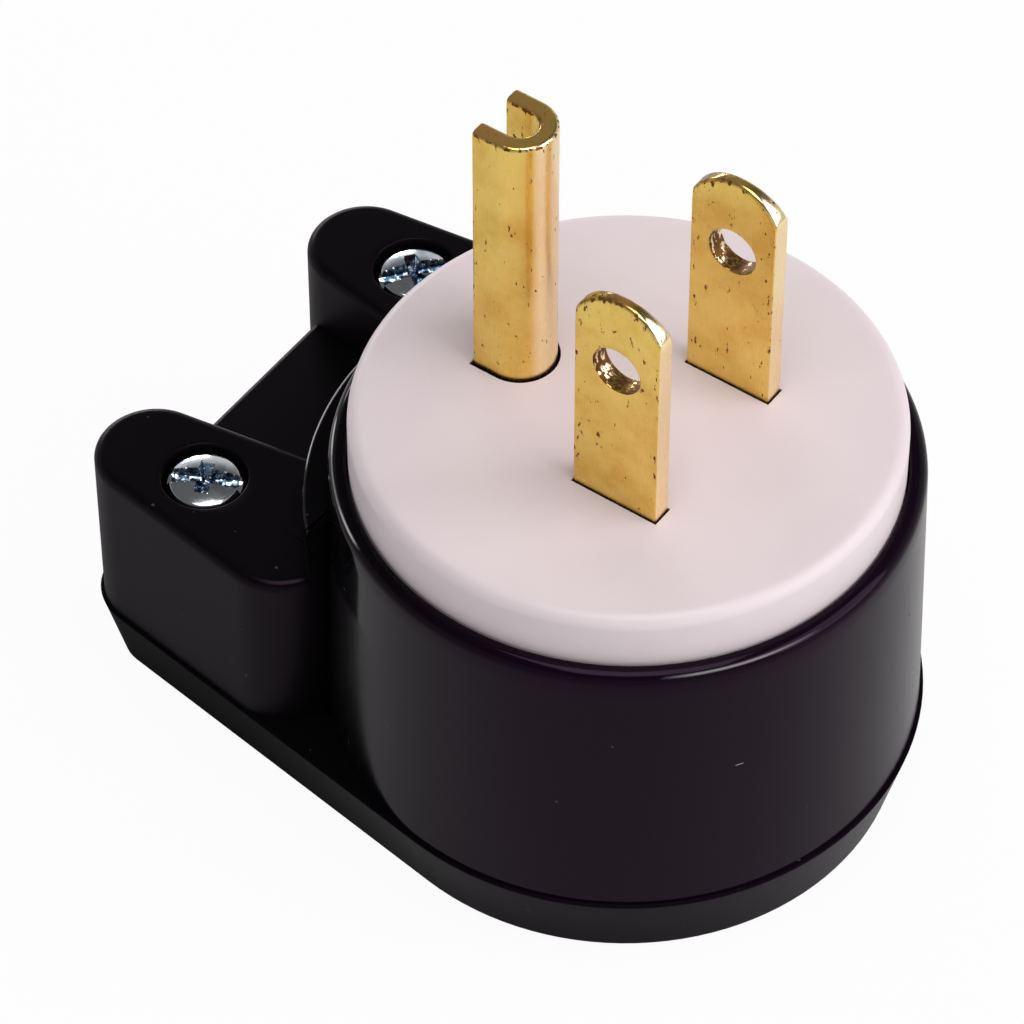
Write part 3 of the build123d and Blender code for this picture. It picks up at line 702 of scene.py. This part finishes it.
# foot of a blade: a rectangle from the blade's middle out to its end
def footGrid(side):
    look = bladeLook
    x = look["shift"] + look["width"] / 2 * np.array([-1.0, 1.0, 1.0, -1.0])
    y = side * np.array([look["apart"], look["apart"], look["footReach"], look["footReach"]])
    corners = np.column_stack([x, y])
    sides = zip(corners, np.roll(corners, -1, 0))
    plan = np.concatenate([linePoints(first, last, 13)[:-1] for first, last in sides])
    hole = np.array([look["shift"], side * look["terminal"]])
    return plateGrid(plan, hole, look["screwHole"], look["foot"], look["foot"] + look["thickness"])


for name, node, side in (("farBlade", "hot_blade", 1.0), ("nearBlade", "neutral_blade", -1.0)):
    makePiece(name, [bladeGrid(side), footGrid(side)], finishes["contact_brass"], node,
              wearAndPaintedLight=bladeWearAndShade)


# folded ground pin
pinLook = {"open": -10.52, "round": -8.595, "width": 4.95, "wall": 1.3, "top": 52.63, "foot": 21.53,
           "topEdge": 0.3, "tipHeight": 1.0, "sideEdge": 0.12, "sideGap": 0.1, "terminal": -12.32,
           "screwHole": 1.8, "wearAndPaintedLight": {"endSpread": 0.35, "topShare": 3.0, "topIn": 0.15, "topSpread": 0.12}}


# a section of the strip, wall thickness by height with rounded corners, carried along the U in plan
def pinGrid():
    look = pinLook
    half = look["wall"] / 2
    middle = look["width"] / 2 - half
    inTop, downTop = edgeRound(look["topEdge"], 6)
    inSide, downSide = edgeRound(look["sideEdge"], 5)
    offset = np.concatenate([[half, half], half - inTop])
    height = np.concatenate([[look["foot"], look["top"] - look["tipHeight"]], look["top"] - downTop])
    offset = np.concatenate([offset, -offset[::-1]])
    height = np.concatenate([height, height[::-1]])
    # the arms' ends: rounded corners, then one column drawn together to close them
    lead = np.concatenate([[look["open"]], look["open"] + downSide[::-1]])
    lead = np.column_stack([lead, np.full(len(lead), middle)])
    slim = np.concatenate([[0.0], 1 - inSide[::-1] / half])
    arm = linePoints((look["open"] + look["sideEdge"] + look["sideGap"], middle), (look["round"], middle), 8)
    path = np.concatenate([arm[:-1], arcPoints((look["round"], 0.0), middle, 90.0, -90.0, 41),
                           arm[-2::-1] * (1.0, -1.0)])
    normal = -outwardNormals(path, closed=False)
    track = np.concatenate([lead, path, lead[::-1] * (1.0, -1.0)])
    across = np.concatenate([np.repeat(normal[:1], len(lead), 0), normal,
                             np.repeat(normal[-1:], len(lead), 0)])
    slim = np.concatenate([slim, np.ones(len(path)), slim[::-1]])
    flat = track + across * (offset[:, None] * slim)[..., None]
    return np.concatenate([flat, np.repeat(height[:, None, None], len(track), 1)], -1), True, False


# foot of the pin: a plate with round ends
def pinFootGrid():
    look = pinLook
    radius = look["width"] / 2
    line = linePoints((look["round"], radius), (look["terminal"], radius), 16)[1:-1]
    plan = np.concatenate([arcPoints((look["round"], 0.0), radius, -90.0, 90.0, 33), line,
                           arcPoints((look["terminal"], 0.0), radius, 90.0, 270.0, 33),
                           line[::-1] * (1.0, -1.0)])
    hole = np.array([look["terminal"], 0.0])
    return plateGrid(plan, hole, look["screwHole"], look["foot"], look["foot"] + look["wall"])


# wear: the larger of two, one fading in from the arms' ends and a band on the rounding under the top
def pinWear(points):
    look, wearAndSheen = pinLook, pinLook["wearAndPaintedLight"]
    end = np.exp(-np.maximum(points[:, 0] - look["open"], 0.0) / wearAndSheen["endSpread"])
    under = look["top"] - points[:, 2]
    return np.maximum(end, wearAndSheen["topShare"] * np.exp(-((under - wearAndSheen["topIn"]) / wearAndSheen["topSpread"]) ** 2))


makePiece("groundPin", [pinGrid(), pinFootGrid()], finishes["contact_brass"], "ground_pin",
          wearAndPaintedLight=pinWear)


# white face with the openings of the contacts
faceLook = {"radius": 18.1, "top": 31.93, "edge": 0.9, "edgeGap": 0.3, "seat": 23.93, "bossRadius": 15.655,
            "bossFoot": 21.63, "hollowRadius": 15.3, "bladeGap": 0.1, "pinGap": 0.2, "openingDepth": 3.0,
            "columns": 240}


# openings in plan: a rectangle for each blade, a round end and two corners for the pin
def facePlans():
    look = faceLook
    x = bladeLook["shift"] + (bladeLook["width"] / 2 + look["bladeGap"]) * np.array([-1.0, 1.0, 1.0, -1.0])
    y = (bladeLook["thickness"] / 2 + look["bladeGap"]) * np.array([-1.0, -1.0, 1.0, 1.0])
    radius = pinLook["width"] / 2 + look["pinGap"]
    left = pinLook["open"] - look["pinGap"]
    pin = np.concatenate([arcPoints((pinLook["round"], 0.0), radius, -90.0, 90.0, 41),
                          [[left, radius], [left, -radius]]])
    return [np.column_stack([x, y + bladeLook["apart"]]), np.column_stack([x, y - bladeLook["apart"]]), pin]


# inside of a convex outline that runs anticlockwise: to the left of every side
def insidePlan(points, plan):
    step = np.roll(plan, -1, 0) - plan
    away = points[:, None] - plan
    return np.all(step[:, 0] * away[..., 1] - step[:, 1] * away[..., 0] > 0, axis=1)


planeTolerance = 1e-6   # millimetres


# a level plane inside a ring, less the openings, as triangles
def cutPlane(ring, plans, height):
    loops = [ring] + plans
    sizes = np.cumsum([0] + [len(loop) for loop in loops])
    edges = np.concatenate([np.column_stack([np.arange(len(loop)), np.roll(np.arange(len(loop)), -1)]) + start
                            for loop, start in zip(loops, sizes)])
    found = delaunay_2d_cdt(np.concatenate(loops).tolist(), edges.tolist(), [], 0, planeTolerance)
    flat, faces = np.array(found[0]), np.array(found[2])
    middle = flat[faces].mean(axis=1)
    keep = ~np.any([insidePlan(middle, plan) for plan in plans], axis=0)
    return levelRow(flat, height), faces[keep]


# profile of the disc turned round the axis, hollow behind, its flat middle cut for the openings on both sides
def faceSheets():
    look = faceLook
    low = look["top"] - look["openingDepth"]
    inEdge, downEdge = edgeRound(look["edge"], 10)
    flatEnd = look["radius"] - look["edge"] - look["edgeGap"]
    radius = np.concatenate([[flatEnd], (look["radius"] - inEdge)[::-1], [look["radius"]],
                             np.repeat([look["bossRadius"], look["hollowRadius"]], 2)])
    height = np.concatenate([[look["top"]], (look["top"] - downEdge)[::-1],
                             [look["seat"], look["seat"], look["bossFoot"], look["bossFoot"], low]])
    angle = np.linspace(0.0, 2 * math.pi, look["columns"], endpoint=False)
    turned = np.stack([radius[:, None] * np.cos(angle), radius[:, None] * np.sin(angle),
                       height[:, None] + 0 * angle], -1)
    plans = facePlans()
    grids = [(turned, False, True)]
    grids += [(np.stack([levelRow(plan, look["top"]), levelRow(plan, low)]), False, True) for plan in plans]
    return grids, [cutPlane(turned[0, :, :2], plans, look["top"]), cutPlane(turned[-1, :, :2], plans, low)]


faceGrids, facePlanes = faceSheets()
makePiece("faceDisc", faceGrids, finishes["white_face"], "blade_carrier", planes=facePlanes)


# pan-head screws that close the cover: a slot with a cross recess
screwLook = {"places": ((-25.83, -11.82), (-25.83, 11.82)), "turns": (27.0, 52.0), "radius": 2.525,
             "top": 19.75, "dome": 0.48, "edge": 0.25, "seat": 17.35, "shankRadius": 1.5,
             "slotWidth": 1.2, "slotDepth": 0.85, "slotWall": 0.06, "crossReach": 1.55, "crossWidth": 1.0,
             "crossDepth": 1.5, "endSlope": 1.7, "sideSlope": 4.0, "wearFrom": 0.05, "wearSpan": 0.15,
             "lines": 130}


# head: a square grid drawn out to a disc, its height a dome less the slot and the cross; then wall and shank
def screwSheets(place, turn):
    look = screwLook
    line = np.sin(np.linspace(-math.pi / 2, math.pi / 2, look["lines"]))
    u, v = np.meshgrid(line, line)
    x = look["radius"] * u * np.sqrt(1 - v ** 2 / 2)
    y = look["radius"] * v * np.sqrt(1 - u ** 2 / 2)
    r = np.hypot(x, y)
    outer = np.clip((r - look["radius"] + look["edge"]) / look["edge"], 0.0, 1.0)
    z = look["top"] - look["dome"] * (r / look["radius"]) ** 2 - look["edge"] * (1 - np.sqrt(1 - outer ** 2))
    cut = np.clip((look["slotWidth"] / 2 - np.abs(y)) / look["slotWall"], 0.0, 1.0)
    z = z - cut * np.maximum(z - look["top"] + look["slotDepth"], 0.0)
    for a, b in ((x, y), (y, x)):
        deep = np.minimum((look["crossReach"] - np.abs(a)) * look["endSlope"],
                          (look["crossWidth"] / 2 - np.abs(b)) * look["sideSlope"])
        z = np.minimum(z, look["top"] - np.clip(deep, 0.0, look["crossDepth"]))
    angle = math.radians(turn)
    head = np.stack([place[0] + x * math.cos(angle) - y * math.sin(angle),
                     place[1] + x * math.sin(angle) + y * math.cos(angle), z], -1)
    border = np.concatenate([head[0, :-1], head[:-1, -1], head[-1, :0:-1], head[:0:-1, 0]])
    ray = border[:, :2] - place
    ray = ray / np.linalg.norm(ray, axis=1, keepdims=True)
    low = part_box("cover_screws")[0][2] / mm
    under = ((look["radius"], look["seat"]), (look["shankRadius"], look["seat"]),
             (look["shankRadius"], low), (0.0, low))
    rows = [border] + [levelRow(place + ray * radius, height) for radius, height in under]
    return [(head, False, False), (np.stack(rows), False, True)]


# painted shade and glints: 0 on the dome, rising to 1 down the walls of the slot and the cross
def screwPaintedShadeAndGlints(points):
    look = screwLook
    side = np.where(points[:, 1] < 0, 0, 1)
    r = np.linalg.norm(points[:, :2] - np.array(look["places"])[side], axis=1)
    dome = look["top"] - look["dome"] * (r / look["radius"]) ** 2
    depth = dome - points[:, 2] - look["wearFrom"]
    return np.clip(depth / look["wearSpan"], 0.0, 1.0) * (r < look["radius"] - look["edge"])


screwGrids = [sheet for spot in zip(screwLook["places"], screwLook["turns"]) for sheet in screwSheets(*spot)]
makePiece("coverScrews", screwGrids, finishes["screw_zinc"], "cover_screws",
          joined=True, sharp=30.0, wearAndPaintedLight=screwPaintedShadeAndGlints)


# floor: glows nearly white to the camera, so its shadow is weak, and only a little in reflections
floorLook = {"size": 3.0, "height": -0.02 * mm, "colour": (0.86, 0.86, 0.86, 1), "white": 0.95,
             "reflected": 0.03}


def makeFloor():
    look = floorLook
    half = look["size"] / 2
    mesh = bpy.data.meshes.new("floor")
    corners = [(-half, -half), (half, -half), (half, half), (-half, half)]
    mesh.from_pydata([(*corner, look["height"]) for corner in corners], [], [(0, 1, 2, 3)])
    floor = bpy.data.objects.new("floor", mesh)
    scene.collection.objects.link(floor)
    finish, wire, shader = newFinish("floorWhite")
    plug(wire, shader, {"Base Color": look["colour"], "Roughness": 1.0, "Specular IOR Level": 0.0})
    camera, glossy, through = (wire.node("ShaderNodeLightPath", output=way)
                               for way in ("Is Camera Ray", "Is Glossy Ray", "Is Transmission Ray"))
    share = camera * look["white"] + (glossy + through) * look["reflected"]
    glow = wire.node("ShaderNodeEmission", None, {"Color": (1, 1, 1, 1), "Strength": 1.0})
    own = Wire(wire.tree, shader.outputs[0])
    mixed = wire.node("ShaderNodeMixShader", None, {0: share, 1: own, 2: glow})
    wire.tree.links.new(mixed.socket, wire.tree.nodes["Material Output"].inputs["Surface"])
    mesh.materials.append(finish)


# world: white where the camera looks past the floor, a bright backdrop low down and a dim room above it
worldLook = {"colour": (1.0, 1.0, 1.0, 1), "room": 0.1, "backdrop": 0.45, "fadeFrom": 0.3, "fadeTo": 0.6}


def makeWorld():
    look = worldLook
    world = bpy.data.worlds.new("room")
    scene.world = world
    world.use_nodes = True
    wire = Wire(world.node_tree)
    seen = wire.node("ShaderNodeLightPath", output="Is Camera Ray")
    aim = wire.node("ShaderNodeTexCoord", output="Generated")
    rise = aim.part(2)
    light = look["room"] + look["backdrop"] * (1.0 - rise.step(look["fadeFrom"], look["fadeTo"]))
    strength = seen + (1.0 - seen) * light
    background = world.node_tree.nodes["Background"]
    background.inputs["Color"].default_value = look["colour"]
    world.node_tree.links.new(strength.socket, background.inputs["Strength"])


# soft boxes: where they stand, their width and height, and their power; all face the plug
lampLooks = {
    "topBox": {"place": (0.1, -0.1, 0.8), "size": (0.5, 0.5), "power": 3.05,
               "colour": (1.0, 0.99, 0.99)},
    "rightBox": {"place": (0.48, 0.15, 0.35), "size": (0.5, 0.5), "power": 2.2,
                 "colour": (1.0, 0.98, 0.98)},
    "edgeStrip": {"place": (-0.475, 0.332, 0.155), "size": (0.32, 0.05), "power": 0.8,
                  "colour": (1.0, 1.0, 1.0)},
}
lampAim = Vector((0.0, 0.0, 0.025))   # metres


def makeLamps():
    for name, look in lampLooks.items():
        light = bpy.data.lights.new(name, "AREA")
        light.shape = "RECTANGLE"
        light.size, light.size_y = look["size"]
        light.energy = look["power"]
        light.color = look["colour"]
        lamp = bpy.data.objects.new(name, light)
        lamp.location = look["place"]
        lamp.rotation_euler = (lampAim - lamp.location).to_track_quat("-Z", "Y").to_euler()
        scene.collection.objects.link(lamp)


# camera solved on the photograph: angles in degrees, lengths in millimetres
cameraLook = {"turn": 35.6178, "height": 48.0191, "roll": -0.0149, "distance": 364.9599,
              "slideRight": -7.4811, "slideUp": -6.5744, "faceHeight": 31.93, "lens": 200.114, "sensor": 36.0,
              "clipStart": 10.0}


def makeCamera():
    look = cameraLook
    turn, height, roll = (math.radians(look[key]) for key in ("turn", "height", "roll"))
    back = Vector((math.sin(turn) * math.cos(height), -math.cos(turn) * math.cos(height), math.sin(height)))
    right = Vector((math.cos(turn), math.sin(turn), 0.0))
    up = back.cross(right)
    across = math.cos(roll) * right + math.sin(roll) * up
    upward = math.cos(roll) * up - math.sin(roll) * right
    spot = back * look["distance"] + across * look["slideRight"] + upward * look["slideUp"]
    spot = (spot + Vector((0.0, 0.0, look["faceHeight"]))) * mm
    data = bpy.data.cameras.new("camera")
    data.sensor_width = look["sensor"]
    data.lens = look["lens"]
    data.clip_start = look["clipStart"] * mm
    camera = bpy.data.objects.new("camera", data)
    camera.matrix_world = Matrix((across, upward, back)).transposed().to_4x4()
    camera.location = spot
    scene.collection.objects.link(camera)
    scene.camera = camera


makeFloor()
makeWorld()
makeLamps()
makeCamera()
scene.view_settings.view_transform = "Standard"
print("floor, world, lamps and camera set")
